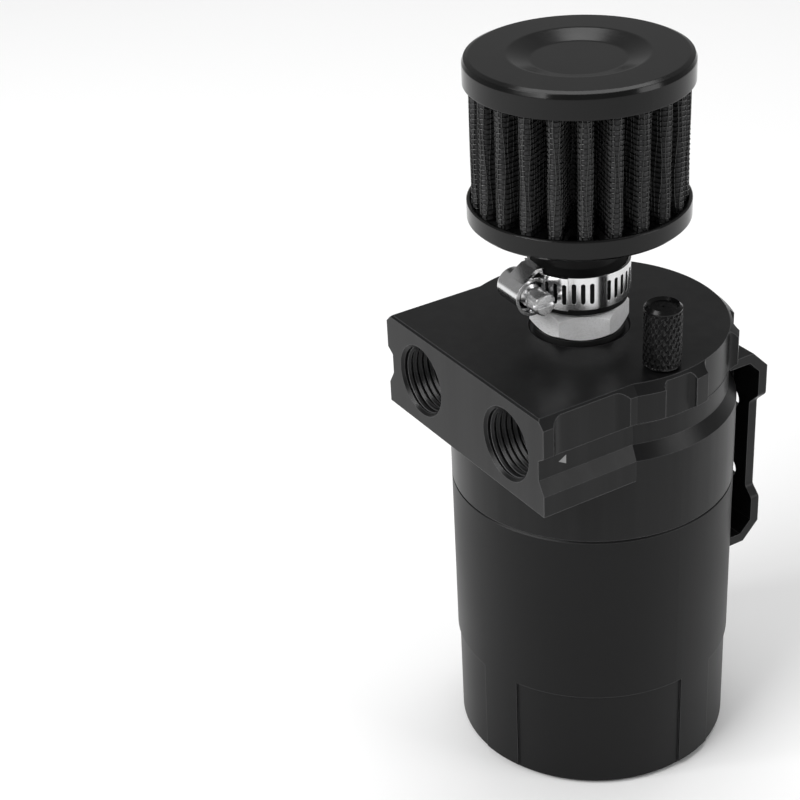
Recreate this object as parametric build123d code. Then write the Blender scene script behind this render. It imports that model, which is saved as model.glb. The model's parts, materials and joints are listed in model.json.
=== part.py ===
from build123d import *
import os
from math import cos, radians, sin, sqrt

# Oil catch can with a breather filter, in millimetres.
# The origin is the centre of the cup's flat bottom. +Z runs up the can's axis, the two hose
# ports face -Y, the bracket is behind at +Y, and +X is the outlet side.

# Shared by several pieces
FIT_GAP = 0.05          # radial gap of pieces that seat in one another
SEAT_GAP = 0.02         # hairline between pieces that touch
CLEAR = 0.4
OVER = 1.0              # how far a cutter runs past the metal it cuts

# Cup
CAN_R = 34.0            # outer radius of the cup and of the lid's round part
CUP_H = 72.6            # height of the cup, up to the seam with the lid
CUP_WALL = 3.2
CUP_FLOOR = 3.5
CUP_FOOT_CHAMFER = 1.6
FOOT_RECESS_H = 27.5    # the shallow recesses round the foot
FOOT_RECESS_DEPTH = 0.5
FOOT_RECESS_SPAN = 72.0
FOOT_RIB_ANGLE = 12.0
FOOT_RECESS_COUNT = 4
SEAM_CHAMFER = 0.35
CUP_CORNER = 2.0        # slope between the cup's floor and its wall

# Thread between lid and cup, drawn plain
SPIGOT_WALL = 2.1
SPIGOT_LEN = 12.0
THREAD_GAP = 0.1
THREAD_RUNOUT = 1.0
SPIGOT_INSET = 2.7
SPIGOT_R = CAN_R - SPIGOT_INSET
CHAMBER_R = SPIGOT_R - SPIGOT_WALL
CUP_O_RING_D = 1.7

# Lid block
BLOCK_H = 24.0
SKIRT_H = 15.8          # from the seam to the underside of the block
BLOCK_INSET = 2.0       # the block's flat sides stand this far inside the can's radius
BLOCK_NOSE = 2.7        # and its front face this far outside it
LID_ROOF = 24.4         # metal left above the chamber
SIDE_BEVEL = 2.1
FRONT_CHAMFER = 0.5
CUT_PAST = 5.0          # how far the cutters run past the lid's sides
BLOCK_HALF_W = CAN_R - BLOCK_INSET
BLOCK_FRONT = CAN_R + BLOCK_NOSE
LID_BASE_Z = CUP_H
BLOCK_Z = LID_BASE_Z + SKIRT_H
LID_TOP = BLOCK_Z + BLOCK_H
ROOF_Z = LID_TOP - LID_ROOF

# Groove round the lid's sides, as depths below the lid's top
GROOVE_DEPTH = 2.0
GROOVE_TOP = 9.1
GROOVE_WALL_TOP = 10.5
GROOVE_WALL_BOTTOM = 15.5
GROOVE_BOTTOM = 18.8

# Scallops cut into the lid's upper wall, the same on both sides
SIDE_SCALLOP_START = 2.8
SIDE_SCALLOP_LEN = 20.6
SIDE_SCALLOP_DEPTH = 1.6
SCALLOP_END_R = 4.0
SCALLOP_CORNER = 0.9    # a round pocket's corner radius, as a share of its depth
SMALL_SCALLOP_ANGLES = (-0.8, 57.5)
SMALL_SCALLOP_SPAN = 14.6
SMALL_SCALLOP_DEPTH = 1.5
WIDE_SCALLOP_ANGLE = 28.4
WIDE_SCALLOP_SPAN = 31.0

# Hose ports in the front face
PORT_SIDE_WALL = 6.21   # metal between a port and the block's side
PORT_R = 8.19           # minor radius of an M18 x 1.5 thread
PORT_THREAD_LEN = 18.0
PORT_DROP = 12.2        # port axis below the lid's top
PORT_MOUTH_CHAMFER = 0.7
PORT_TAIL_R = 6.8
PORT_TAIL_LEN = 7.0
DRILL_POINT = 2.0
PASSAGE_R = 5.0
PASSAGE_EDGE = 1.4      # from the passage to the chamber's wall
PORT_Z = LID_TOP - PORT_DROP
PORT_X = BLOCK_HALF_W - PORT_SIDE_WALL - PORT_R
PASSAGE_Y = -sqrt((CHAMBER_R - PASSAGE_EDGE - PASSAGE_R) ** 2 - PORT_X ** 2)

# Breather adapter and its seal
AXIS_Y = -3.6           # the breather's axis, a little forward of the can's axis
HEX_AF = 20.0
HEX_H = 6.0
HEX_CORNER_CUT = 1.2
HEX_CORNER_RUN = 1.56   # how far in the cut reaches on the hex's faces
LEAD_CHAMFER = 0.8
ADAPTER_BORE_R = 4.5
ADAPTER_SHANK_R = 6.5
SHANK_LEN = 15.0
STUB_R = 8.0
STUB_LEN = 17.5
SEAL_T = 1.4
SEAL_R = 10.6
SPOT_FACE_DEPTH = 0.6
SPOT_FACE_R = 11.5
SPOT_FACE_CHAMFER = 0.4
SPOT_Z = LID_TOP - SPOT_FACE_DEPTH
HEX_Z = SPOT_Z + SEAL_T
STUB_Z = HEX_Z + HEX_H

# Filter
BOOT_RISE = 1.0         # from the hex to the rubber neck's lower end
COLLAR_R = 11.15        # thick lower end of the neck, under the clamp
COLLAR_H = 10.8
NECK_R = 9.65
NECK_H = 9.2
BOOT_HEAD_R = 13.0
BOOT_HEAD_T = 1.4
FILTER_R = 25.3
FLANGE_R = 25.2
FLANGE_H = 4.9
SHEET_T = 0.8           # thickness of the cap's and flange's sheet
FLANGE_FLOOR = 1.4
FLANGE_EDGE = 0.7
FILTER_H = 38.2         # from the flange's underside to the cap's top
CAP_SKIRT_H = 6.0
CAP_EDGE_R = 1.4
DISH_R = 15.7
DISH_FLOOR_R = 10.6
DISH_DEPTH = 1.5
DISH_FILLET = 2.0
POTTING_T = 0.55
POTTING_IN = 1.4        # the potting's slope starts this far outside the dish's floor
POTTING_OUT = 2.0       # and ends this far outside the dish
PLEAT_COUNT = 22
PLEAT_CREST_R = 22.65   # radius of the circle on which the crests are centred
PLEAT_ROUND = 1.35
MEDIA_T = 0.9
VALLEY_ROUND = 0.85
SCREEN_T = 0.3
SCREEN_GAP = 0.03
SCREEN_WINDOW = (1.9, 4.2)
SCREEN_ROWS = 5
SCREEN_CUT = 1.8        # how deep a window's cutter is
CORE_R = 13.0
CORE_T = 0.8
CORE_WINDOWS = 8
CORE_WINDOW_W = 4.3
CORE_WINDOW_SHARE = 0.7     # of the core's height
BOOT_Z = STUB_Z + BOOT_RISE
FLANGE_Z = BOOT_Z + COLLAR_H + NECK_H
FILTER_TOP = FLANGE_Z + FILTER_H
PLEAT_Z = FLANGE_Z + FLANGE_FLOOR
POTTING_Z = FILTER_TOP - DISH_DEPTH - SHEET_T - POTTING_T

# Hose clamp
BAND_W = 8.0
BAND_T = 0.6
BAND_RISE = 1.6         # from the neck's lower end to the band
SLOT_SIZE = (1.0, 5.0)
SLOT_STEP = 10.0        # angle from slot to slot
SLOT_COUNT = 18
BLANK_SLOT = 10         # left out, as a plain stretch
SLOTS_BEFORE = 2        # slots on the left of the housing
TAIL_END = -48.0        # where the strap's free end lies on the band
TAIL_START = -122.0
HOUSING_ANGLE = -92.0
HOUSING_DROP = 0.8      # the housing sits a little low on the band
WORM_R = 2.65
WORM_CORE_R = 1.8
WORM_DIP = 0.35         # how far the thread reaches into the band's slots
WORM_RING_COUNT = 5
WORM_GAP = 0.45
WORM_CREST = 0.2        # half widths of a thread at its crest and at its root
WORM_ROOT = 0.65
PIN_R = 0.9
BARREL_T = 0.8
BARREL_FROM, BARREL_TO = -6.2, 3.5
LIP_LEN = 1.2           # flared mouth on the screw head's side
LIP_FLARE = 0.7
SADDLE_FROM, SADDLE_TO = -3.6, 2.0
SADDLE_LEAN = 60.0      # angle round the barrel at which the saddle leaves it
HEAD_R = 2.7
HEAD_FROM, HEAD_TO = 4.3, 8.5
HEAD_SLOT = (0.8, 1.3)
HEAD_EDGE = 0.4
HEAD_FLATS = 0.95       # the head's flats, as a share of its radius
BAND_R = COLLAR_R + FIT_GAP
BAND_Z = BOOT_Z + BAND_RISE
STRAP_R = BAND_R + 2 * BAND_T
WORM_AT = STRAP_R - WORM_DIP + WORM_R
WORM_PITCH = (STRAP_R - BAND_T / 2) * radians(SLOT_STEP)

# Dipstick
STICK_EDGE = 2.2        # from the rod's axis to the chamber's wall
STICK_X, STICK_Y = CHAMBER_R - STICK_EDGE, -0.8
KNOB_R = 4.35
KNOB_H = 15.2
KNOB_CHAMFER = 0.7
KNOB_DISH_R = 3.0
KNOB_DISH_DEPTH = 0.6
STEM_R = 3.0
STEM_LEN = 5.2
PILOT_R = 2.0
PILOT_LEN = 9.0
STICK_O_RING_D = 0.9
STICK_GROOVE_PLAY = 0.2
STICK_GROOVE_RISE = 1.3     # from the stem's lower end to its groove
ROD_R = 1.25
ROD_FOOT = 2.5          # from the rod's tip to the cup's floor
ROD_SEAT = 6.0
LEVEL_MARKS = (12.0, 30.0)
MARK_DEPTH = 0.25
STEM_Z = LID_TOP - STEM_LEN + FIT_GAP
PILOT_Z = STEM_Z - PILOT_LEN
ROD_FOOT_Z = CUP_FLOOR + ROD_FOOT
ROD_TOP_Z = PILOT_Z + ROD_SEAT
STICK_GROOVE_R = STEM_R + FIT_GAP - STICK_O_RING_D
STICK_GROOVE_Z = STEM_Z + STICK_GROOVE_RISE
STICK_GROOVE_H = STICK_O_RING_D + STICK_GROOVE_PLAY

# Baffle under the lid
POST_EDGE = 6.2         # from a post's axis to the chamber's wall
POST_CIRCLE_R = CHAMBER_R - POST_EDGE
POST_ANGLES = (45.0, 135.0, 270.0)
POST_R = 3.0
POST_LEN = 36.0
POST_HOLE_R = 1.65
STUD_LEN = 8.0          # the threaded end that holds a post in the roof
BAFFLE_GAP = 0.8
BAFFLE_R = CHAMBER_R - BAFFLE_GAP
BAFFLE_T = 2.0
BAFFLE_HOLE_R = 1.9
BAFFLE_RING_RADII = (7.0, 13.0)
BAFFLE_HOLE_COUNTS = (6, 12)
SCREW_HEAD_R = 2.8
SCREW_HEAD_H = 2.0
SCREW_HEAD_EDGE = 0.4
SCREW_SOCKET_R = 1.4
SCREW_SOCKET_DEPTH = 1.2
SCREW_SHANK_LEN = 9.0
TUBE_WALL = 1.0
TUBE_BELOW_BAFFLE = 6.0
PAD_GAP = 4.4
PAD_R = CHAMBER_R - PAD_GAP
PAD_H = 7.0
BAFFLE_Z = ROOF_Z - POST_LEN - BAFFLE_T

# Bracket
BRACKET_GAP = 1.0       # from the can to the plate
PLATE_T = 2.4
LOBE_HALF_W = 19.5
WAIST_HALF_W = 16.5
LOWER_LOBE_HALF_W = 19.0
BRACKET_H = 53.6
BEND_LEG = 3.1
WAIST_FROM, WAIST_TO = 12.3, 41.9    # from the bracket's top to its waist's ends
MOUNT_SPACING = 20.0
MOUNT_HOLE_R = 2.75
MOUNT_DROP = 26.7       # from the bracket's top to the middle of its holes
ARM_GAP = 0.3
ARM_REACH = 50.0        # the arms end at this angle round the can
BRACKET_CORNER_R = 1.5
PAD_HALF_W = 11.0
PAD_BELOW, PAD_ABOVE = 1.1, 5.1      # the pad's ends, from the block's underside
BRACKET_SCREW_X = 6.0
BRACKET_SCREW_RISE = 2.6
BRACKET_SCREW_R = 2.0
BRACKET_SCREW_LEN = 5.5
BRACKET_HEAD_R = 3.7
HEAD_RIM = 0.2          # the screw's head lies this far below the plate's face
TIP_GAP = 0.5           # from a screw's tip to the end of its hole
BRACKET_SOCKET_R = 1.25
BRACKET_SOCKET_DEPTH = 1.2
ARM_SEAT = 1.0          # from the groove's upper lip to the bracket's top arm
PLATE_Y = CAN_R + BRACKET_GAP
BRACKET_TOP = LID_TOP - GROOVE_WALL_TOP - ARM_SEAT
JOG_TOP_Z = BRACKET_TOP - WAIST_FROM
JOG_BOTTOM_Z = BRACKET_TOP - WAIST_TO
MOUNT_Z = BRACKET_TOP - MOUNT_DROP
BRACKET_SCREW_Z = BLOCK_Z + BRACKET_SCREW_RISE


def turned(points, x=0.0, y=0.0):
    """A solid turned from a closed outline of (radius, height) points about a vertical axis."""
    outline = make_face(Polyline(*[(r, 0, z) for r, z in points], close=True))
    return Pos(x, y, 0) * revolve(outline, Axis.Z)


def post(radius, z0, z1, x=0.0, y=0.0):
    """A round bar between two heights."""
    return Pos(x, y, z0) * Cylinder(radius, z1 - z0, align=(Align.CENTER, Align.CENTER, Align.MIN))


def ring(outer, inner, z0, z1, x=0.0, y=0.0):
    """A round tube between two heights."""
    return post(outer, z0, z1, x, y) - post(inner, z0 - OVER, z1 + OVER, x, y)


def sector(outer, inner, z0, z1, angle, span):
    """A slice of a tube, centred on an angle about the can's axis."""
    start = CenterArc((0, 0), outer, angle - span / 2, span)
    end = CenterArc((0, 0), inner, angle - span / 2, span)
    sides = [Line(start @ 0, end @ 0), Line(start @ 1, end @ 1)]
    return Pos(0, 0, z0) * extrude(make_face(Curve() + [start, end] + sides), z1 - z0)


def polar(radius, angle):
    """A point on a circle about the can's axis."""
    return radius * cos(radians(angle)), radius * sin(radians(angle))


def lid_outline(inset=0.0):
    """The lid seen from above: a round body with a square front."""
    half_w = BLOCK_HALF_W - inset
    front = BLOCK_FRONT - (inset if inset < 0 else 0.0)
    block = Pos(0, -front / 2) * Rectangle(2 * half_w, front)
    return Circle(CAN_R - inset) + block


def groove_cutter():
    """The band of metal taken off the lid's sides, with a sloped lip above and below."""
    z_top = LID_TOP - GROOVE_TOP
    z_wall_top = LID_TOP - GROOVE_WALL_TOP
    z_wall_bottom = LID_TOP - GROOVE_WALL_BOTTOM
    z_bottom = LID_TOP - GROOVE_BOTTOM
    lip = loft([Pos(0, 0, z_wall_top) * lid_outline(GROOVE_DEPTH), Pos(0, 0, z_top) * lid_outline()])
    core = Pos(0, 0, z_wall_bottom) * extrude(lid_outline(GROOVE_DEPTH), z_wall_top - z_wall_bottom)
    foot = loft([Pos(0, 0, z_bottom) * lid_outline(), Pos(0, 0, z_wall_bottom) * lid_outline(GROOVE_DEPTH)])
    slab = Pos(0, 0, z_bottom) * extrude(lid_outline(-CUT_PAST), z_top - z_bottom)
    return slab - (lip + core + foot)


def side_scallop():
    """The long pocket in the flat side, with rounded ends."""
    y0 = SIDE_SCALLOP_START - BLOCK_FRONT
    y1 = y0 + SIDE_SCALLOP_LEN
    wall_x = BLOCK_HALF_W - SIDE_SCALLOP_DEPTH
    run = sqrt(SCALLOP_END_R ** 2 - (SCALLOP_END_R - SIDE_SCALLOP_DEPTH) ** 2)
    points = [(BLOCK_HALF_W, y0), (wall_x, y0 + run), (wall_x, y1 - run), (BLOCK_HALF_W, y1)]
    path = [
        RadiusArc(points[0], points[1], SCALLOP_END_R, short_sagitta=True),
        Line(points[1], points[2]),
        RadiusArc(points[2], points[3], SCALLOP_END_R, short_sagitta=True),
    ]
    outer = Polyline(points[3], (BLOCK_HALF_W + CUT_PAST, y1), (BLOCK_HALF_W + CUT_PAST, y0), points[0])
    return make_face(Curve() + path + [outer])


def round_scallop(angle, span, depth):
    """A pocket in the round part of the lid, as a sketch."""
    start = CenterArc((0, 0), CAN_R - depth, angle - span / 2, span)
    outer = CenterArc((0, 0), CAN_R + CUT_PAST, angle - span / 2, span)
    pocket = make_face(Curve() + [start, outer, Line(start @ 0, outer @ 0), Line(start @ 1, outer @ 1)])
    inner = pocket.vertices().sort_by_distance((0, 0))[:2]
    return fillet(inner, depth * SCALLOP_CORNER)


def scallop_cutter():
    """All the pockets of both sides, cut down into the groove."""
    pockets = [side_scallop()]
    pockets += [round_scallop(a, SMALL_SCALLOP_SPAN, SMALL_SCALLOP_DEPTH) for a in SMALL_SCALLOP_ANGLES]
    pockets += [round_scallop(WIDE_SCALLOP_ANGLE, WIDE_SCALLOP_SPAN, SIDE_BEVEL)]
    z0 = LID_TOP - GROOVE_WALL_TOP
    cutters = [Pos(0, 0, z0) * extrude(pocket, LID_TOP - z0 + OVER) for pocket in pockets]
    return cutters + [mirror(cutter, Plane.YZ) for cutter in cutters]


def port_cutter(x):
    """A threaded hose port, its tail and the passage down into the chamber."""
    mouth_r = PORT_R + PORT_MOUTH_CHAMFER
    tail_end = PORT_THREAD_LEN + PORT_TAIL_LEN
    outline = [
        (0, -OVER), (mouth_r, -OVER), (mouth_r, 0), (PORT_R, PORT_MOUTH_CHAMFER), (PORT_R, PORT_THREAD_LEN),
        (PORT_TAIL_R, PORT_THREAD_LEN + PORT_R - PORT_TAIL_R), (PORT_TAIL_R, tail_end),
        (0, tail_end + DRILL_POINT),
    ]
    bore = Pos(x, -BLOCK_FRONT, PORT_Z) * Rot(-90, 0, 0) * turned(outline)
    return bore + post(PASSAGE_R, ROOF_Z - OVER, PORT_Z, x, PASSAGE_Y)


def make_lid():
    body = Pos(0, 0, BLOCK_Z) * extrude(lid_outline(), BLOCK_H) + post(CAN_R, LID_BASE_Z, BLOCK_Z)
    top = body.faces().sort_by(Axis.Z)[-1]
    front = top.edges().sort_by(Axis.Y)[0]
    body = chamfer([edge for edge in top.edges() if edge != front], SIDE_BEVEL)
    front = body.faces().sort_by(Axis.Z)[-1].edges().sort_by(Axis.Y)[0]
    body = chamfer(front, FRONT_CHAMFER)
    body -= groove_cutter()
    for cutter in scallop_cutter():
        body -= cutter
    pad_z0, pad_z1 = BLOCK_Z - PAD_BELOW, BLOCK_Z + PAD_ABOVE
    pad = Pos(0, PLATE_Y / 2, (pad_z0 + pad_z1) / 2) * Box(2 * PAD_HALF_W, PLATE_Y, pad_z1 - pad_z0)
    body += chamfer(pad.edges().filter_by(Axis.Z).group_by(Axis.Y)[-1], BRACKET_GAP / 2)
    spigot_z = LID_BASE_Z - SPIGOT_LEN
    body -= turned([(CAN_R - SEAM_CHAMFER, LID_BASE_Z), (CAN_R, LID_BASE_Z + SEAM_CHAMFER),
                    (CAN_R + OVER, LID_BASE_Z + SEAM_CHAMFER), (CAN_R + OVER, LID_BASE_Z)])
    body += post(SPIGOT_R, spigot_z, LID_BASE_Z)
    body = chamfer(body.faces().sort_by(Axis.Z)[0].edges(), SPIGOT_WALL / 3)
    body -= post(SPIGOT_R - SPIGOT_WALL, spigot_z - OVER, ROOF_Z)
    for x in (-PORT_X, PORT_X):
        body -= port_cutter(x)
    body -= turned([(0, ROOF_Z - OVER), (ADAPTER_SHANK_R + FIT_GAP, ROOF_Z - OVER),
                    (ADAPTER_SHANK_R + FIT_GAP, SPOT_Z), (SPOT_FACE_R, SPOT_Z),
                    (SPOT_FACE_R, LID_TOP - SPOT_FACE_CHAMFER),
                    (SPOT_FACE_R + SPOT_FACE_CHAMFER + OVER, LID_TOP + OVER),
                    (0, LID_TOP + OVER)], 0, AXIS_Y)
    body -= post(PILOT_R + FIT_GAP, ROOF_Z - OVER, LID_TOP, STICK_X, STICK_Y)
    body -= post(STEM_R + FIT_GAP, LID_TOP - STEM_LEN, LID_TOP + OVER, STICK_X, STICK_Y)
    for angle in POST_ANGLES:
        body -= post(POST_HOLE_R, ROOF_Z - OVER, ROOF_Z + SCREW_SHANK_LEN, *polar(POST_CIRCLE_R, angle))
    screw_hole = Rot(-90, 0, 0) * post(BRACKET_SCREW_R, -BRACKET_SCREW_LEN, OVER)
    for x in (-BRACKET_SCREW_X, BRACKET_SCREW_X):
        body -= Pos(x, PLATE_Y, BRACKET_SCREW_Z) * screw_hole
    return body


def make_cup():
    bore_r = CAN_R - CUP_WALL
    thread_r = SPIGOT_R + THREAD_GAP
    seat_r = thread_r + CUP_O_RING_D
    thread_z = CUP_H - SPIGOT_LEN - THREAD_RUNOUT
    body = turned([
        (0, 0), (CAN_R - CUP_FOOT_CHAMFER, 0), (CAN_R, CUP_FOOT_CHAMFER), (CAN_R, CUP_H - SEAM_CHAMFER),
        (CAN_R - SEAM_CHAMFER, CUP_H), (seat_r, CUP_H), (seat_r, CUP_H - CUP_O_RING_D - FIT_GAP),
        (thread_r, CUP_H - CUP_O_RING_D - FIT_GAP), (thread_r, thread_z),
        (bore_r, thread_z - THREAD_RUNOUT), (bore_r, CUP_FLOOR + CUP_CORNER),
        (bore_r - CUP_CORNER, CUP_FLOOR), (0, CUP_FLOOR),
    ])
    for k in range(FOOT_RECESS_COUNT):
        angle = FOOT_RIB_ANGLE + (k + 0.5) * 360 / FOOT_RECESS_COUNT
        inner = CAN_R - FOOT_RECESS_DEPTH
        body -= sector(CAN_R + OVER, inner, -OVER, FOOT_RECESS_H, angle, FOOT_RECESS_SPAN)
    return body


def make_cup_o_ring():
    section_r = CUP_O_RING_D / 2 - SEAT_GAP
    centre_z = CUP_H - CUP_O_RING_D / 2
    return Pos(0, 0, centre_z) * Torus(SPIGOT_R + THREAD_GAP + CUP_O_RING_D / 2, section_r)


def make_breather_adapter():
    hexagon = Pos(0, AXIS_Y, HEX_Z) * extrude(RegularPolygon(HEX_AF / 2, 6, major_radius=False), HEX_H)
    corner_r = HEX_AF / sqrt(3)
    face_r = corner_r - HEX_CORNER_RUN
    rounding = turned([
        (0, HEX_Z), (face_r, HEX_Z), (corner_r, HEX_Z + HEX_CORNER_CUT),
        (corner_r, STUB_Z - HEX_CORNER_CUT), (face_r, STUB_Z), (0, STUB_Z),
    ], 0, AXIS_Y)
    lead = LEAD_CHAMFER
    stem = turned([
        (0, HEX_Z - SHANK_LEN), (ADAPTER_SHANK_R - lead, HEX_Z - SHANK_LEN),
        (ADAPTER_SHANK_R, HEX_Z - SHANK_LEN + lead), (ADAPTER_SHANK_R, HEX_Z), (STUB_R, HEX_Z),
        (STUB_R, STUB_Z + STUB_LEN - lead), (STUB_R - lead, STUB_Z + STUB_LEN), (0, STUB_Z + STUB_LEN),
    ], 0, AXIS_Y)
    bore = post(ADAPTER_BORE_R, HEX_Z - SHANK_LEN - OVER, STUB_Z + STUB_LEN + OVER, 0, AXIS_Y)
    return (hexagon & rounding) + stem - bore


def make_adapter_seal():
    return ring(SEAL_R, ADAPTER_SHANK_R + FIT_GAP, SPOT_Z, HEX_Z, 0, AXIS_Y)


def make_filter_boot():
    bore_r = STUB_R + FIT_GAP
    collar_z = BOOT_Z + COLLAR_H
    neck_top = PLEAT_Z
    slope = COLLAR_R - NECK_R
    return turned([
        (bore_r, BOOT_Z), (COLLAR_R, BOOT_Z), (COLLAR_R, collar_z - slope), (NECK_R, collar_z),
        (NECK_R, neck_top), (BOOT_HEAD_R, neck_top), (BOOT_HEAD_R, neck_top + BOOT_HEAD_T),
        (bore_r, neck_top + BOOT_HEAD_T),
    ], 0, AXIS_Y)


def make_filter_base_ring():
    return turned([
        (NECK_R + FIT_GAP, FLANGE_Z), (FLANGE_R - FLANGE_EDGE, FLANGE_Z),
        (FLANGE_R, FLANGE_Z + FLANGE_EDGE),
        (FLANGE_R, FLANGE_Z + FLANGE_H - SHEET_T / 3), (FLANGE_R - SHEET_T / 3, FLANGE_Z + FLANGE_H),
        (FLANGE_R - SHEET_T, FLANGE_Z + FLANGE_H), (FLANGE_R - SHEET_T, PLEAT_Z),
        (NECK_R + FIT_GAP, PLEAT_Z),
    ], 0, AXIS_Y)


def cap_profile(drop):
    """The cap's upper surface, from the axis to the top edge, moved down by a sheet's thickness."""
    top = FILTER_TOP - drop
    return [(0, top - DISH_DEPTH), (DISH_FLOOR_R - drop / 2, top - DISH_DEPTH), (DISH_R - drop / 2, top)]


def make_filter_cap():
    rim_z = FILTER_TOP - CAP_SKIRT_H
    inner_r = FILTER_R - SHEET_T
    edge = CAP_EDGE_R * (1 - 1 / sqrt(2))
    outer = cap_profile(0) + [(FILTER_R - CAP_EDGE_R, FILTER_TOP), (FILTER_R - edge, FILTER_TOP - edge),
                              (FILTER_R, FILTER_TOP - CAP_EDGE_R), (FILTER_R, rim_z), (inner_r, rim_z)]
    inner = [(inner_r, FILTER_TOP - SHEET_T)] + cap_profile(SHEET_T)[::-1]
    cap = turned(outer + inner, 0, AXIS_Y)
    bends = [e for e in cap.edges().filter_by(GeomType.CIRCLE) if abs(e.radius - DISH_R) < 0.01
             or abs(e.radius - DISH_FLOOR_R) < 0.01]
    return fillet(bends, DISH_FILLET)


def make_filter_potting():
    inner_r = FILTER_R - SHEET_T - FIT_GAP
    flat_z = FILTER_TOP - SHEET_T - SEAT_GAP
    floor_z = flat_z - DISH_DEPTH
    return turned([(0, POTTING_Z), (inner_r, POTTING_Z), (inner_r, flat_z), (DISH_R + POTTING_OUT, flat_z),
                   (DISH_FLOOR_R + POTTING_IN, floor_z), (0, floor_z)], 0, AXIS_Y)


def pleat_outline(offset):
    """The folded sheet seen from above: round crests and round valleys joined by straight flanks."""
    half_step = 180 / PLEAT_COUNT
    crest = PLEAT_ROUND + offset
    valley = VALLEY_ROUND - offset
    valley_circle = (VALLEY_ROUND + PLEAT_ROUND) / sin(radians(half_step))
    edges = []
    for k in range(PLEAT_COUNT):
        angle = 360 / PLEAT_COUNT * k
        bisector = angle + half_step
        crest_at = polar(PLEAT_CREST_R, angle)
        valley_at = polar(valley_circle, bisector)
        tip = CenterArc(crest_at, crest, angle - 90, 180)
        fold = CenterArc(valley_at, valley, angle - 90, -(180 - 2 * half_step))
        next_angle = angle + 2 * half_step
        next_tip = CenterArc(polar(PLEAT_CREST_R, next_angle), crest, next_angle - 90, 180)
        edges += [tip, Line(tip @ 1, fold @ 0), fold, Line(fold @ 1, next_tip @ 0)]
    return make_face(Curve() + edges)


def make_filter_pleats():
    sheet = pleat_outline(0) - pleat_outline(-MEDIA_T)
    return Pos(0, AXIS_Y, PLEAT_Z) * extrude(sheet, POTTING_Z - PLEAT_Z)


def make_filter_screen():
    z0 = PLEAT_Z + SCREEN_GAP
    height = POTTING_Z - SCREEN_GAP - z0
    shell = extrude(pleat_outline(SCREEN_GAP + SCREEN_T) - pleat_outline(SCREEN_GAP), height)
    width, tall = SCREEN_WINDOW
    free = FILTER_TOP - CAP_SKIRT_H - FLANGE_Z - FLANGE_H
    pitch = free / SCREEN_ROWS
    hole = Pos(PLEAT_CREST_R + PLEAT_ROUND + SCREEN_T, 0) * Rectangle(SCREEN_CUT, width)
    holes = extrude(Sketch() + [Rot(0, 0, 360 / PLEAT_COUNT * k) * hole for k in range(PLEAT_COUNT)], tall)
    first = FLANGE_Z + FLANGE_H - z0 + (pitch - tall) / 2
    for row in range(SCREEN_ROWS):
        shell -= Pos(0, 0, first + row * pitch) * holes
    return Pos(0, AXIS_Y, z0) * shell


def make_filter_core():
    z0 = PLEAT_Z + BOOT_HEAD_T
    height = POTTING_Z - z0
    tube = ring(CORE_R, CORE_R - CORE_T, z0, POTTING_Z, 0, AXIS_Y)
    slot = Pos(CORE_R, 0, z0 + height / 2) * Box(3 * CORE_T, CORE_WINDOW_W, height * CORE_WINDOW_SHARE)
    for k in range(CORE_WINDOWS):
        tube -= Pos(0, AXIS_Y, 0) * Rot(0, 0, 360 / CORE_WINDOWS * (k + 0.5)) * slot
    return tube


def make_clamp_band():
    z0, z1 = BAND_Z, BAND_Z + BAND_W
    band = ring(BAND_R + BAND_T, BAND_R, z0, z1)
    span = TAIL_END - TAIL_START
    band += sector(STRAP_R, BAND_R, z0, z1, TAIL_START + span / 2, span)
    width, tall = SLOT_SIZE
    slot = Rot(0, 90, 0) * extrude(SlotOverall(tall, width), STRAP_R + OVER)
    slot = Pos(0, 0, (z0 + z1) / 2) * (slot - post(BAND_R - OVER, -BAND_W, BAND_W))
    for k in range(SLOT_COUNT):
        if k != BLANK_SLOT:
            band -= Rot(0, 0, HOUSING_ANGLE + (k - SLOTS_BEFORE) * SLOT_STEP) * slot
    return Pos(0, AXIS_Y, 0) * band


def at_worm(shape):
    """Places a shape made along +Z onto the worm's axis. Its +Y then points in, and its +X down."""
    x, y = polar(WORM_AT, HOUSING_ANGLE)
    middle = Pos(x, AXIS_Y + y, BAND_Z + BAND_W / 2 - HOUSING_DROP)
    return middle * Rot(0, 0, HOUSING_ANGLE + 90) * Rot(0, 90, 0) * shape


def saddle_outline(thickness):
    """The strap that ties the barrel to the band's two edges, as a section across the worm."""
    barrel_r = WORM_R + WORM_GAP + thickness
    edge = BAND_W / 2 + FIT_GAP + thickness
    inward = WORM_AT - BAND_R
    shoulder = WORM_AT - STRAP_R - thickness
    top, bottom = -edge - HOUSING_DROP, edge - HOUSING_DROP
    lean = radians(SADDLE_LEAN)
    points = [(top, inward), (top, shoulder), (-barrel_r * sin(lean), -barrel_r * cos(lean)),
              (barrel_r, 0), (bottom, shoulder), (bottom, inward)]
    return make_face(Polyline(*points, close=True))


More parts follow.
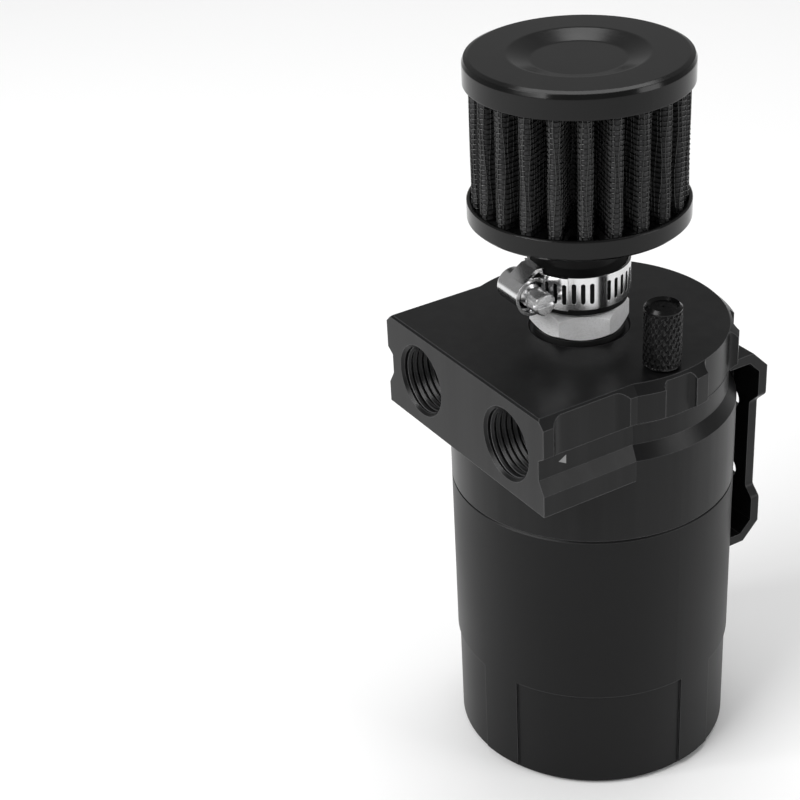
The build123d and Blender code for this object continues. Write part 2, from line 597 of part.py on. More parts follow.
def make_clamp_housing():
    inner_r = WORM_R + WORM_GAP
    outer_r = inner_r + BARREL_T
    lip_z = BARREL_TO - LIP_LEN
    bottom = (Align.CENTER, Align.CENTER, Align.MIN)
    barrel = post(outer_r, BARREL_FROM, BARREL_TO)
    barrel = fillet(barrel.edges().group_by(Axis.Z)[0], BARREL_T)
    barrel += Pos(0, 0, lip_z) * Cone(outer_r, outer_r + LIP_FLARE, LIP_LEN, align=bottom)
    saddle = extrude(saddle_outline(BARREL_T) - saddle_outline(0), SADDLE_TO - SADDLE_FROM)
    shell = barrel + Pos(0, 0, SADDLE_FROM) * saddle
    shell -= post(inner_r, BARREL_FROM + BARREL_T, BARREL_TO + OVER)
    shell -= post(PIN_R + FIT_GAP, BARREL_FROM - OVER, BARREL_TO)
    shell -= Pos(0, 0, lip_z) * Cone(inner_r, inner_r + LIP_FLARE, LIP_LEN, align=bottom)
    z0, z1 = BAND_Z - FIT_GAP, BAND_Z + BAND_W + FIT_GAP
    strap = post(STRAP_R + FIT_GAP, z0, z1, 0, AXIS_Y)
    neck = post(BAND_R + FIT_GAP, z0 - BAND_W, z1 + BAND_W, 0, AXIS_Y)
    return at_worm(shell) - strap - neck


def make_clamp_screw():
    first = -(WORM_RING_COUNT - 1) / 2 * WORM_PITCH
    start = BARREL_FROM + BARREL_T + FIT_GAP
    points = [(0, BARREL_FROM + FIT_GAP), (PIN_R, BARREL_FROM + FIT_GAP), (PIN_R, start)]
    points += [(WORM_CORE_R, start)]
    for k in range(WORM_RING_COUNT):
        z = first + k * WORM_PITCH
        points += [(WORM_CORE_R, z - WORM_ROOT), (WORM_R, z - WORM_CREST)]
        points += [(WORM_R, z + WORM_CREST), (WORM_CORE_R, z + WORM_ROOT)]
    points += [(WORM_CORE_R, HEAD_FROM), (0, HEAD_FROM)]
    head = turned([(0, HEAD_FROM), (HEAD_R, HEAD_FROM), (HEAD_R, HEAD_TO - HEAD_EDGE),
                   (HEAD_R - HEAD_EDGE, HEAD_TO), (0, HEAD_TO)])
    flats = RegularPolygon(HEAD_R * HEAD_FLATS, 6, major_radius=False)
    head &= Pos(0, 0, HEAD_FROM) * extrude(flats, HEAD_TO - HEAD_FROM)
    slot_w, slot_d = HEAD_SLOT
    head -= Pos(0, 0, HEAD_TO - slot_d / 2) * Box(slot_w, 3 * HEAD_R, slot_d)
    return at_worm(turned(points) + head)


def make_dipstick_knob():
    z0 = LID_TOP + FIT_GAP
    top = z0 + KNOB_H
    groove_top = STICK_GROOVE_Z + STICK_GROOVE_H
    return turned([
        (0, ROD_TOP_Z), (ROD_R, ROD_TOP_Z), (ROD_R, PILOT_Z), (PILOT_R, PILOT_Z), (PILOT_R, STEM_Z),
        (STEM_R, STEM_Z), (STEM_R, STICK_GROOVE_Z), (STICK_GROOVE_R, STICK_GROOVE_Z),
        (STICK_GROOVE_R, groove_top), (STEM_R, groove_top), (STEM_R, z0),
        (KNOB_R - KNOB_CHAMFER, z0), (KNOB_R, z0 + KNOB_CHAMFER), (KNOB_R, top - KNOB_CHAMFER),
        (KNOB_R - KNOB_CHAMFER, top), (KNOB_DISH_R + KNOB_DISH_DEPTH, top),
        (KNOB_DISH_R, top - KNOB_DISH_DEPTH), (0, top - KNOB_DISH_DEPTH),
    ], STICK_X, STICK_Y)


def make_dipstick_o_ring():
    centre_z = STICK_GROOVE_Z + STICK_GROOVE_H / 2
    section_r = (STICK_O_RING_D - SEAT_GAP) / 2
    return Pos(STICK_X, STICK_Y, centre_z) * Torus(STICK_GROOVE_R + STICK_O_RING_D / 2, section_r)


def make_dipstick_rod():
    points = [(0, ROD_FOOT_Z), (ROD_R / 2, ROD_FOOT_Z), (ROD_R, ROD_FOOT_Z + ROD_R / 2)]
    for mark in LEVEL_MARKS:
        z = ROD_FOOT_Z + mark
        points += [(ROD_R, z), (ROD_R - MARK_DEPTH, z + MARK_DEPTH)]
        points += [(ROD_R - MARK_DEPTH, z + 3 * MARK_DEPTH), (ROD_R, z + 4 * MARK_DEPTH)]
    return turned(points + [(ROD_R, ROD_TOP_Z), (0, ROD_TOP_Z)], STICK_X, STICK_Y)


def make_baffle_posts():
    plate_top = BAFFLE_Z + BAFFLE_T
    stud_r = POST_HOLE_R - FIT_GAP
    pieces = []
    for angle in POST_ANGLES:
        spot = polar(POST_CIRCLE_R, angle)
        pillar = post(POST_R, plate_top, ROOF_Z, *spot) + post(stud_r, ROOF_Z, ROOF_Z + STUD_LEN, *spot)
        pieces.append(pillar - post(POST_HOLE_R, plate_top - OVER, plate_top + SCREW_SHANK_LEN, *spot))
    return Compound(children=pieces)


def make_baffle_plate():
    plate = post(BAFFLE_R, BAFFLE_Z, BAFFLE_Z + BAFFLE_T)
    holes = [(PILOT_R + CLEAR, (STICK_X, STICK_Y)), (PASSAGE_R + CLEAR / 2, (-PORT_X, PASSAGE_Y))]
    holes += [(POST_HOLE_R, polar(POST_CIRCLE_R, angle)) for angle in POST_ANGLES]
    for radius, count in zip(BAFFLE_RING_RADII, BAFFLE_HOLE_COUNTS):
        holes += [(BAFFLE_HOLE_R, polar(radius, 360 / count * k)) for k in range(count)]
    for radius, spot in holes:
        plate -= post(radius, BAFFLE_Z - OVER, BAFFLE_Z + BAFFLE_T + OVER, *spot)
    notch = Pos(STICK_X + PILOT_R, STICK_Y, BAFFLE_Z + BAFFLE_T / 2)
    return plate - notch * Box(2 * PILOT_R, 2 * (PILOT_R + CLEAR), 2 * BAFFLE_T)


def make_baffle_screws():
    shank_r = POST_HOLE_R - FIT_GAP
    edge = SCREW_HEAD_EDGE
    pieces = []
    for angle in POST_ANGLES:
        screw = turned([
            (0, BAFFLE_Z - SCREW_HEAD_H), (SCREW_HEAD_R - edge, BAFFLE_Z - SCREW_HEAD_H),
            (SCREW_HEAD_R, BAFFLE_Z - SCREW_HEAD_H + edge), (SCREW_HEAD_R, BAFFLE_Z), (shank_r, BAFFLE_Z),
            (shank_r, BAFFLE_Z + SCREW_SHANK_LEN), (0, BAFFLE_Z + SCREW_SHANK_LEN),
        ], *polar(POST_CIRCLE_R, angle))
        hexagon = extrude(RegularPolygon(SCREW_SOCKET_R, 6), SCREW_SOCKET_DEPTH)
        pieces.append(screw - Pos(*polar(POST_CIRCLE_R, angle), BAFFLE_Z - SCREW_HEAD_H) * hexagon)
    return Compound(children=pieces)


def make_inlet_tube():
    outer_r = PASSAGE_R - SEAT_GAP
    top_z = PORT_Z - PORT_R - CLEAR
    return ring(outer_r, outer_r - TUBE_WALL, BAFFLE_Z - TUBE_BELOW_BAFFLE, top_z, -PORT_X, PASSAGE_Y)


def make_mesh_pad():
    z0 = BAFFLE_Z + BAFFLE_T
    pad = post(PAD_R, z0, z0 + PAD_H)
    pad -= post(PASSAGE_R + CLEAR, z0 - OVER, z0 + PAD_H + OVER, -PORT_X, PASSAGE_Y)
    pad -= post(PILOT_R + CLEAR, z0 - OVER, z0 + PAD_H + OVER, STICK_X, STICK_Y)
    for angle in POST_ANGLES:
        pad -= post(POST_R + CLEAR, z0 - OVER, z0 + PAD_H + OVER, *polar(POST_CIRCLE_R, angle))
    return pad


def bracket_profile():
    """The bent plate seen from the side, with a flat facet at each bend."""
    leg = BEND_LEG
    outer = leg + PLATE_T * (2 - sqrt(2))
    y0, y1 = PLATE_Y, PLATE_Y + PLATE_T
    reach = CAN_R * cos(radians(ARM_REACH))
    top, bottom = BRACKET_TOP, BRACKET_TOP - BRACKET_H
    return [
        (reach, top), (y1 - outer, top), (y1, top - outer), (y1, bottom + outer), (y1 - outer, bottom),
        (reach, bottom), (reach, bottom + PLATE_T), (y0 - leg, bottom + PLATE_T),
        (y0, bottom + PLATE_T + leg), (y0, top - PLATE_T - leg), (y0 - leg, top - PLATE_T),
        (reach, top - PLATE_T),
    ]


def make_bracket():
    profile = make_face(Polyline(*[(0, y, z) for y, z in bracket_profile()], close=True))
    plate = extrude(profile, LOBE_HALF_W, both=True, dir=(1, 0, 0))
    bottom = BRACKET_TOP - BRACKET_H
    jog = LOBE_HALF_W - WAIST_HALF_W
    low_jog = LOWER_LOBE_HALF_W - WAIST_HALF_W
    side = [
        (LOBE_HALF_W, BRACKET_TOP + OVER), (LOBE_HALF_W, JOG_TOP_Z), (WAIST_HALF_W, JOG_TOP_Z - jog),
        (WAIST_HALF_W, JOG_BOTTOM_Z + low_jog), (LOWER_LOBE_HALF_W, JOG_BOTTOM_Z),
        (LOWER_LOBE_HALF_W, bottom - OVER),
    ]
    outline = make_face(Polyline(*side, *[(-x, z) for x, z in side[::-1]], close=True))
    corners = outline.vertices().filter_by_position(Axis.Y, bottom, BRACKET_TOP)
    outline = fillet(corners, BRACKET_CORNER_R)
    front = Rot(90, 0, 0) * extrude(outline, 2 * CAN_R, both=True)
    plate &= front
    plate -= post(CAN_R - GROOVE_DEPTH + ARM_GAP, JOG_TOP_Z, BRACKET_TOP + OVER)
    plate -= post(CAN_R + ARM_GAP, bottom - OVER, JOG_TOP_Z)
    y1 = PLATE_Y + PLATE_T
    for x in (-MOUNT_SPACING / 2, MOUNT_SPACING / 2):
        for z in (MOUNT_Z - MOUNT_SPACING / 2, MOUNT_Z + MOUNT_SPACING / 2):
            plate -= Pos(x, y1, z) * Rot(-90, 0, 0) * post(MOUNT_HOLE_R, -PLATE_T - OVER, OVER)
    hole_r = BRACKET_SCREW_R + FIT_GAP
    mouth_r = BRACKET_HEAD_R + FIT_GAP
    cone = turned([(0, -PLATE_T - OVER), (hole_r, -PLATE_T - OVER), (hole_r, hole_r - mouth_r),
                   (mouth_r, 0), (mouth_r, OVER), (0, OVER)])
    for x in (-BRACKET_SCREW_X, BRACKET_SCREW_X):
        plate -= Pos(x, y1, BRACKET_SCREW_Z) * Rot(-90, 0, 0) * cone
    return plate


def make_bracket_screws():
    shank_r = BRACKET_SCREW_R - SEAT_GAP
    head_r = BRACKET_HEAD_R - HEAD_RIM
    tip = TIP_GAP - PLATE_T - BRACKET_SCREW_LEN
    outline = [(0, tip), (shank_r, tip), (shank_r, shank_r - BRACKET_HEAD_R), (head_r, -HEAD_RIM),
               (head_r, 0), (0, 0)]
    socket = extrude(RegularPolygon(BRACKET_SOCKET_R, 6), BRACKET_SOCKET_DEPTH + OVER)
    screw = turned(outline) - Pos(0, 0, -BRACKET_SOCKET_DEPTH) * socket
    at = [Pos(x, PLATE_Y + PLATE_T, BRACKET_SCREW_Z) for x in (-BRACKET_SCREW_X, BRACKET_SCREW_X)]
    return Compound(children=[place * Rot(-90, 0, 0) * screw for place in at])


NODES = {
    "lid": make_lid,
    "cup": make_cup,
    "cup_o_ring": make_cup_o_ring,
    "breather_adapter": make_breather_adapter,
    "adapter_seal": make_adapter_seal,
    "filter_boot": make_filter_boot,
    "filter_base_ring": make_filter_base_ring,
    "filter_pleats": make_filter_pleats,
    "filter_screen": make_filter_screen,
    "filter_core": make_filter_core,
    "filter_potting": make_filter_potting,
    "filter_cap": make_filter_cap,
    "clamp_band": make_clamp_band,
    "clamp_housing": make_clamp_housing,
    "clamp_screw": make_clamp_screw,
    "dipstick_knob": make_dipstick_knob,
    "dipstick_o_ring": make_dipstick_o_ring,
    "dipstick_rod": make_dipstick_rod,
    "baffle_posts": make_baffle_posts,
    "baffle_plate": make_baffle_plate,
    "baffle_screws": make_baffle_screws,
    "inlet_tube": make_inlet_tube,
    "mesh_pad": make_mesh_pad,
    "bracket": make_bracket,
    "bracket_screws": make_bracket_screws,
}

os.makedirs("parts", exist_ok=True)
for name, make in NODES.items():
    export_step(make(), f"parts/{name}.step")
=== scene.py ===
import json
import math

import bmesh
import bpy
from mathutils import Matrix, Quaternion, Vector


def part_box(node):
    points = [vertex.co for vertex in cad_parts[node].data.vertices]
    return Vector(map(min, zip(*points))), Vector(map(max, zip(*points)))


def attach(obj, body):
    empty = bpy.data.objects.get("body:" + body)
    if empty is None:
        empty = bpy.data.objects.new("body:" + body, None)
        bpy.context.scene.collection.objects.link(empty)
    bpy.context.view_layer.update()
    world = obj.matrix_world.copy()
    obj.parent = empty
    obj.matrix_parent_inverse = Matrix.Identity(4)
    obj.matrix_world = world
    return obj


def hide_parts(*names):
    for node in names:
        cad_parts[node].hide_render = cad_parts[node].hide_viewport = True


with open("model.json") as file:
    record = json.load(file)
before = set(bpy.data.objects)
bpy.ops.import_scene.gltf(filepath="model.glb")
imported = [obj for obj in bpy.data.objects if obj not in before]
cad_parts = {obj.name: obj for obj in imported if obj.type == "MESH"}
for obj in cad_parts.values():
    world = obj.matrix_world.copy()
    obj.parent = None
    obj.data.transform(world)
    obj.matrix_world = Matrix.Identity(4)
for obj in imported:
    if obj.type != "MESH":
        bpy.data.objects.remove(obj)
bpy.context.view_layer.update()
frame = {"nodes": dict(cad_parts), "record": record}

MM = 0.001
BODY = "body"

# Camera, in millimetres and degrees, with the image taken as 800 by 800
CAMERA_AT = (310.5, -232.1, 316.1)
CAMERA_AZIMUTH = 59.99
CAMERA_PITCH = 30.03
CAMERA_ROLL = -3.31
CAMERA_LENS = 84.06

# Light, with each softbox's place and size in metres and its power in watts
WORLD_LIGHT = 0.3
FLOOR_HALF = 3.0
FLOOR_GREY = 0.9
LIGHT_AIM = (0, 0, 0.09)
SOFTBOXES = (
    ("key", (0.1, -1.1, 1.0), (0.8, 0.8), 14.0),
    ("top", (-0.3, 0.3, 1.4), (1.0, 1.0), 10.0),
    ("side", (1.0, 0.7, 0.5), (0.5, 0.9), 5.0),
    ("spark", (-0.35, -1.0, 0.9), (0.14, 0.14), 2.6),
)

# Anodising, as shares of its grey for the darkest and the palest cloud
CLOUD_DARK = (0.92, 0.92, 0.95)
CLOUD_PALE = (1.08, 1.08, 1.12)
# Edges painted lighter, partly as wear and partly as painted highlight: bevel radius in millimetres and
# gain of the edge mask
EDGE_WEAR_AND_HIGHLIGHT_RADIUS = 0.3
EDGE_WEAR_AND_HIGHLIGHT_GAIN = 7.0
BEVEL_SAMPLES = 6

# Filter
PLEATS = 22
PLEAT_ROUND = 1.35
VALLEY_ROUND = 0.85
CREST_STEPS = 6
FLANK_STEPS = 3
VALLEY_STEPS = 4
WIRE_R = 0.13
WIRE_SIDES = 4
WIRE_OFFSET = 0.2
WIRE_PITCH = 1.17
WIRES_PER_PLEAT = 17
WIRE_OVERRUN = 1        # how far the uprights run into the cap and the base ring
UPRIGHT_STEPS = 6
WIRE_SKEW = 0.35
SKEW_PER_WIRE = 2.1
SKEW_PER_STEP = 1.3

# Threads, with each profile point's share of the pitch and of the depth
THREAD_PITCH = 1.5
THREAD_STEPS = 72
THREAD_PROFILE = ((0.0, 0.0), (0.42, 1.0), (0.58, 1.0), (1.0, 0.0))
THREAD_RELIEF = 0.9
PORT_THREAD_R = 8.19
PORT_THREAD_DEPTH = 0.55
PORT_THREAD_LEN = 16.5
PORT_THREAD_SINK = 0.02

# Bumped threads, each with its lower end, upper end and outer radius
SPIGOT_Z = 60.6
SEAM_Z = 72.6
SPIGOT_R = 31.3
SPIGOT_THREAD = (SPIGOT_Z, SEAM_Z - 0.4, SPIGOT_R + 0.1)
CUP_THREAD = (SPIGOT_Z, SEAM_Z - 2, SPIGOT_R + 0.3)

# Outlet arrow
GROOVE_DEPTH = 4.0
ARROW_RISE = 0.03
ARROW_THICK = 0.06
ARROW_CORNERS = ((-31.3, 99.9), (-29.3, 101.0), (-29.3, 98.8))

# Knob, with its stem's profile as radius and height above the seat
KNURLS = 20
KNURL_RISE = 1.25
KNURL_DEPTH = 0.32
KNURL_CREST = 1.3       # above 1, the diamonds have flat tops
KNURL_LEVELS = 90
COLUMNS_PER_KNURL = 8
KNOB_PLAIN_END = 1.0
KNOB_CHAMFER = 0.7
KNOB_EASE = 0.05
KNOB_DISH_R = 3.0
KNOB_DISH_DEPTH = 0.6
KNOB_CENTRE_R = 0.3
STEM_BORE_R = 1.25
STEM_TIP_R = 2.0
STEM_PROFILE = (
    (2.0, -5.15), (3.0, -5.15), (3.0, -3.85), (2.15, -3.85), (2.15, -2.75), (3.0, -2.75), (3.0, 0.05),
)


def node_tree(name):
    """A new material with its shader, ready for more nodes."""
    made = bpy.data.materials.new(name)
    made.use_nodes = True
    tree = made.node_tree
    return made, tree, tree.nodes["Principled BSDF"]


def add(tree, kind, **values):
    """A node with its settings, where a name in capitals sets an input socket."""
    node = tree.nodes.new(kind)
    for key, value in values.items():
        if key[0].isupper():
            node.inputs[key.replace("_", " ")].default_value = value
        else:
            setattr(node, key, value)
    return node


def position(tree, stretch=(1, 1, 1)):
    """The point in the row frame, in millimetres, stretched by axis."""
    coords = add(tree, "ShaderNodeTexCoord")
    scale = add(tree, "ShaderNodeMapping", Scale=[s / MM for s in stretch])
    tree.links.new(coords.outputs["Object"], scale.inputs["Vector"])
    return scale.outputs["Vector"]


def noise(tree, size, detail=3.0, stretch=(1, 1, 1)):
    """Noise whose lumps are about size millimetres across."""
    texture = add(tree, "ShaderNodeTexNoise", Scale=1 / size, Detail=detail, Roughness=0.55)
    tree.links.new(position(tree, stretch), texture.inputs["Vector"])
    return texture.outputs["Fac"]


def spread(tree, value, low, high, start=0.35, end=0.65):
    """Maps a 0 to 1 value onto low to high."""
    ramp = add(tree, "ShaderNodeMapRange", From_Min=start, From_Max=end, To_Min=low, To_Max=high)
    tree.links.new(value, ramp.inputs["Value"])
    return ramp.outputs["Result"]


def tint(tree, value, dark, light, start=0.35, end=0.65):
    """Mixes two colours by a 0 to 1 value."""
    ramp = add(tree, "ShaderNodeValToRGB")
    ramp.color_ramp.elements[0].position = start
    ramp.color_ramp.elements[0].color = (*dark, 1)
    ramp.color_ramp.elements[1].position = end
    ramp.color_ramp.elements[1].color = (*light, 1)
    tree.links.new(value, ramp.inputs["Fac"])
    return ramp.outputs["Color"]


def raise_by(tree, shader, heights, edge=0.0):
    """Bumps the surface by a list of (value, millimetres), and rounds its sharp edges."""
    normal = None
    if edge:
        bevel = add(tree, "ShaderNodeBevel", samples=BEVEL_SAMPLES, Radius=edge * MM)
        normal = bevel.outputs["Normal"]
    for value, depth in heights:
        bump = add(tree, "ShaderNodeBump", Strength=1.0, Distance=depth * MM)
        tree.links.new(value, bump.inputs["Height"])
        if normal:
            tree.links.new(normal, bump.inputs["Normal"])
        normal = bump.outputs["Normal"]
    tree.links.new(normal, shader.inputs["Normal"])


def math_node(tree, operation, a, b=0.0, c=0.0):
    """One step of arithmetic on values or sockets."""
    made = add(tree, "ShaderNodeMath", operation=operation)
    for place, value in zip(made.inputs, (a, b, c)):
        if isinstance(value, (int, float)):
            place.default_value = value
        else:
            tree.links.new(value, place)
    return made.outputs["Value"]


def worn_and_highlit_edges(tree):
    """0 on flat faces and up to 1 on sharp edges, where the rounded normal leaves the true one; it marks
    where edges are painted lighter, partly as wear and partly as painted highlight.
    """
    rounded = add(tree, "ShaderNodeBevel", samples=BEVEL_SAMPLES, Radius=EDGE_WEAR_AND_HIGHLIGHT_RADIUS * MM)
    true = add(tree, "ShaderNodeNewGeometry")
    dot = add(tree, "ShaderNodeVectorMath", operation="DOT_PRODUCT")
    tree.links.new(rounded.outputs["Normal"], dot.inputs[0])
    tree.links.new(true.outputs["Normal"], dot.inputs[1])
    bend = math_node(tree, "SUBTRACT", 1.0, dot.outputs["Value"])
    scaled = math_node(tree, "MULTIPLY", bend, EDGE_WEAR_AND_HIGHLIGHT_GAIN)
    return math_node(tree, "MINIMUM", math_node(tree, "MAXIMUM", scaled, 0.0), 1.0)


def thread_bump(tree, low, high, max_r):
    """Height of a screw thread about the can's axis, between two heights and inside a radius."""
    split = add(tree, "ShaderNodeSeparateXYZ")
    tree.links.new(position(tree), split.inputs["Vector"])
    x, y, z = (split.outputs[axis] for axis in "XYZ")
    turn = math_node(tree, "DIVIDE", math_node(tree, "ARCTAN2", y, x), 2 * math.pi)
    phase = math_node(tree, "SUBTRACT", math_node(tree, "DIVIDE", z, THREAD_PITCH), turn)
    wave = math_node(tree, "PINGPONG", phase, 0.5)
    square = math_node(tree, "MULTIPLY_ADD", x, x, math_node(tree, "MULTIPLY", y, y))
    radius = math_node(tree, "SQRT", square)
    inside = math_node(tree, "LESS_THAN", radius, max_r)
    above = math_node(tree, "GREATER_THAN", z, low)
    below = math_node(tree, "LESS_THAN", z, high)
    mask = math_node(tree, "MULTIPLY", inside, math_node(tree, "MULTIPLY", above, below))
    return math_node(tree, "MULTIPLY", wave, mask)


def anodised(
    name, grey=0.0055, rough=(0.3, 0.36), gloss=0.19, lathe=0.0, mill=0.0, edge=0.12, wear_and_shine=0.1, thread=None
):
    """Satin black anodised aluminium: blast grain and, where asked, tool marks, a thread, and sharp edges
    painted lighter, partly as wear and partly as painted highlight.
    """
    made, tree, shader = node_tree(name)
    cloud = noise(tree, 30.0, detail=1.0)
    grain = noise(tree, 0.25, detail=2.0)
    dark, pale = ([grey * share for share in shares] for shares in (CLOUD_DARK, CLOUD_PALE))
    colour = tint(tree, cloud, dark, pale)
    # Sharp edges are painted pale grey, partly as wear and partly as painted highlight along the edges
    if wear_and_shine:
        blend = add(tree, "ShaderNodeMix", data_type="RGBA")
        tree.links.new(worn_and_highlit_edges(tree), blend.inputs["Factor"])
        tree.links.new(colour, blend.inputs["A"])
        blend.inputs["B"].default_value = (wear_and_shine, wear_and_shine, wear_and_shine * 1.02, 1)
        colour = blend.outputs["Result"]
    tree.links.new(colour, shader.inputs["Base Color"])
    tree.links.new(spread(tree, cloud, *rough), shader.inputs["Roughness"])
    if mill:
        streaks = noise(tree, 3.5, detail=2.0, stretch=(1, 1, 0.02))
        level = spread(tree, streaks, gloss * (1 - mill), gloss * (1 + mill), 0.38, 0.62)
        tree.links.new(level, shader.inputs["Specular IOR Level"])
    else:
        shader.inputs["Specular IOR Level"].default_value = gloss
    heights = [(grain, 0.005)]
    if lathe:
        heights.append((noise(tree, 0.3, detail=1.0, stretch=(0.02, 0.02, 1)), lathe))
    if thread:
        heights.append((thread_bump(tree, *thread), THREAD_RELIEF))
    raise_by(tree, shader, heights, edge)
    return made


def coated(name, rough, grey=0.008, grain_size=0.4, grain=0.006, edge=0.15, gloss=0.3):
    """Black powder coat or moulded rubber."""
    made, tree, shader = node_tree(name)
    cloud = noise(tree, 9.0)
    fine = noise(tree, grain_size, detail=2.0)
    colour = tint(tree, cloud, (grey * 0.85,) * 3, (grey * 1.15,) * 3)
    tree.links.new(colour, shader.inputs["Base Color"])
    tree.links.new(spread(tree, cloud, rough * 0.9, rough * 1.1), shader.inputs["Roughness"])
    shader.inputs["Specular IOR Level"].default_value = gloss
    raise_by(tree, shader, [(fine, grain)], edge)
    return made


def bright_metal(name, grey, rough, metallic=1.0):
    """Plated or stainless metal, with fine marks."""
    made, tree, shader = node_tree(name)
    shader.inputs["Metallic"].default_value = metallic
    cloud = noise(tree, 3.0)
    marks = noise(tree, 0.12, detail=2.0)
    colour = tint(tree, cloud, (grey * 0.92,) * 3, (grey, grey, grey * 1.01))
    tree.links.new(colour, shader.inputs["Base Color"])
    tree.links.new(spread(tree, marks, rough * 0.7, rough * 1.3), shader.inputs["Roughness"])
    raise_by(tree, shader, [(marks, 0.004)], 0.12)
    return made


def gauze_cloth(name):
    """Oiled cotton gauze of the filter, with a fine woven bump."""
    made, tree, shader = node_tree(name)
    cloud = noise(tree, 1.2, detail=4.0)
    weave = noise(tree, 0.22, detail=2.0)
    colour = tint(tree, cloud, (0.006, 0.006, 0.0065), (0.03, 0.03, 0.031), 0.3, 0.7)
    tree.links.new(colour, shader.inputs["Base Color"])
    shader.inputs["Roughness"].default_value = 0.85
    shader.inputs["Sheen Weight"].default_value = 0.15
    raise_by(tree, shader, [(weave, 0.12)])
    return made


def knitted_mesh(name):
    """Knitted metal mesh, as crossing bands of wire."""
    made, tree, shader = node_tree(name)
    shader.inputs["Metallic"].default_value = 1.0
    cells = add(tree, "ShaderNodeTexVoronoi", feature="DISTANCE_TO_EDGE", Scale=0.8)
    tree.links.new(position(tree), cells.inputs["Vector"])
    wire = spread(tree, cells.outputs["Distance"], 1.0, 0.0, 0.02, 0.14)
    colour = tint(tree, wire, (0.02, 0.02, 0.02), (0.6, 0.6, 0.6), 0.2, 0.7)
    tree.links.new(colour, shader.inputs["Base Color"])
    shader.inputs["Roughness"].default_value = 0.35
    raise_by(tree, shader, [(wire, 0.5)])
    return made


def new_piece(name, mesh, finish, smooth=True):
    """Puts a mesh in the scene with its material."""
    mesh.materials.append(finish)
    if smooth:
        mesh.shade_smooth()
    made = bpy.data.objects.new(name, mesh)
    bpy.context.collection.objects.link(made)
    return made


def grid_mesh(name, rows, close_along=False):
    """A quad mesh through closed rows of points, in millimetres."""
    width = len(rows[0])
    points = [[c * MM for c in point] for row in rows for point in row]
    faces = []
    for j in range(len(rows) if close_along else len(rows) - 1):
        for i in range(width):
            a, b = j * width, (j + 1) % len(rows) * width
            k = (i + 1) % width
            faces.append((a + i, a + k, b + k, b + i))
    mesh = bpy.data.meshes.new(name)
    mesh.from_pydata(points, [], faces)
    return mesh


def join_meshes(name, meshes):
    """One mesh out of several."""
    whole = bmesh.new()
    for mesh in meshes:
        whole.from_mesh(mesh)
        bpy.data.meshes.remove(mesh)
    joined = bpy.data.meshes.new(name)
    whole.to_mesh(joined)
    whole.free()
    return joined


def tube(points, radius, sides):
    """Rows of points round a wire that follows a closed, level path, in millimetres."""
    rows = []
    count = len(points)
    for k, point in enumerate(points):
        along = (points[(k + 1) % count] - points[k - 1]).normalized()
        out = along.cross(Vector((0, 0, 1))).normalized()
        up = out.cross(along)
        turns = [2 * math.pi * (s + 0.5) / sides for s in range(sides)]
        rows.append([point + (out * math.cos(t) + up * math.sin(t)) * radius for t in turns])
    return rows


def pleat_path(offset, crest_r):
    """One pleat of the folded sheet seen from above, from valley to valley."""
    half = math.pi / PLEATS
    crest, valley = PLEAT_ROUND + offset, VALLEY_ROUND - offset
    valley_at = (VALLEY_ROUND + PLEAT_ROUND) / math.sin(half)
    flank_from = valley_at * math.cos(half)
    flank = crest_r - flank_from
    right = [Vector((flank_from + flank * k / FLANK_STEPS, -crest)) for k in range(FLANK_STEPS)]
    tip = []
    for k in range(CREST_STEPS + 1):
        turn = math.pi * (k / CREST_STEPS - 0.5)
        tip.append(Vector((crest_r + crest * math.cos(turn), crest * math.sin(turn))))
    left = [Vector((p.x, -p.y)) for p in reversed(right)]
    centre = Vector((valley_at * math.cos(half), valley_at * math.sin(half)))
    fold = []
    for k in range(1, VALLEY_STEPS):
        turn = -math.pi / 2 - (math.pi - 2 * half) * k / VALLEY_STEPS
        fold.append(centre + valley * Vector((math.cos(turn), math.sin(turn))))
    return right + tip + left + fold


def filter_gauze(finish):
    """Woven wire that lies on the folded media: level rings and skewed uprights."""
    low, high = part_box("filter_pleats")
    low, high = low / MM, high / MM
    axis = Vector(((low.x + high.x) / 2, (low.y + high.y) / 2))
    crest_r = (high.x - low.x) / 2 - PLEAT_ROUND
    one = pleat_path(WIRE_OFFSET, crest_r)
    outline = []
    for k in range(PLEATS):
        turn = 2 * math.pi * k / PLEATS
        c, s = math.cos(turn), math.sin(turn)
        outline += [Vector((p.x * c - p.y * s, p.x * s + p.y * c)) + axis for p in one]
    visible_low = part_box("filter_base_ring")[1].z / MM
    visible_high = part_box("filter_cap")[0].z / MM
    rings = int((visible_high - visible_low) / WIRE_PITCH) + 2
    meshes = []
    for k in range(rings):
        z = visible_low + (k - 0.5) * WIRE_PITCH
        path = [Vector((p.x, p.y, z)) for p in outline]
        meshes.append(grid_mesh("ring", tube(path, WIRE_R, WIRE_SIDES), close_along=True))
    lengths = [0.0]
    for a, b in zip(outline, outline[1:] + outline[:1]):
        lengths.append(lengths[-1] + (b - a).length)
    uprights = PLEATS * WIRES_PER_PLEAT
    reach = visible_high - visible_low + 2 * WIRE_OVERRUN

    def at(distance):
        distance %= lengths[-1]
        k = next(i for i in range(len(outline)) if lengths[i + 1] > distance)
        a, b = outline[k], outline[(k + 1) % len(outline)]
        return a.lerp(b, (distance - lengths[k]) / (lengths[k + 1] - lengths[k]))

    for k in range(uprights):
        start = lengths[-1] * k / uprights
        path = []
        for j in range(UPRIGHT_STEPS + 1):
            z = visible_low - WIRE_OVERRUN + reach * j / UPRIGHT_STEPS
            spot = at(start + WIRE_SKEW * math.sin(SKEW_PER_WIRE * k + SKEW_PER_STEP * j))
            path.append(Vector((spot.x, spot.y, z)))
        rows = []
        for point in path:
            sides = ((1, 0), (0, 1), (-1, 0), (0, -1))
            rows.append([point + Vector((dx, dy, 0)) * WIRE_R for dx, dy in sides])
        meshes.append(grid_mesh("upright", rows))
    made = new_piece("filter_gauze", join_meshes("filter_gauze", meshes), finish)
    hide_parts("filter_screen")
    return made


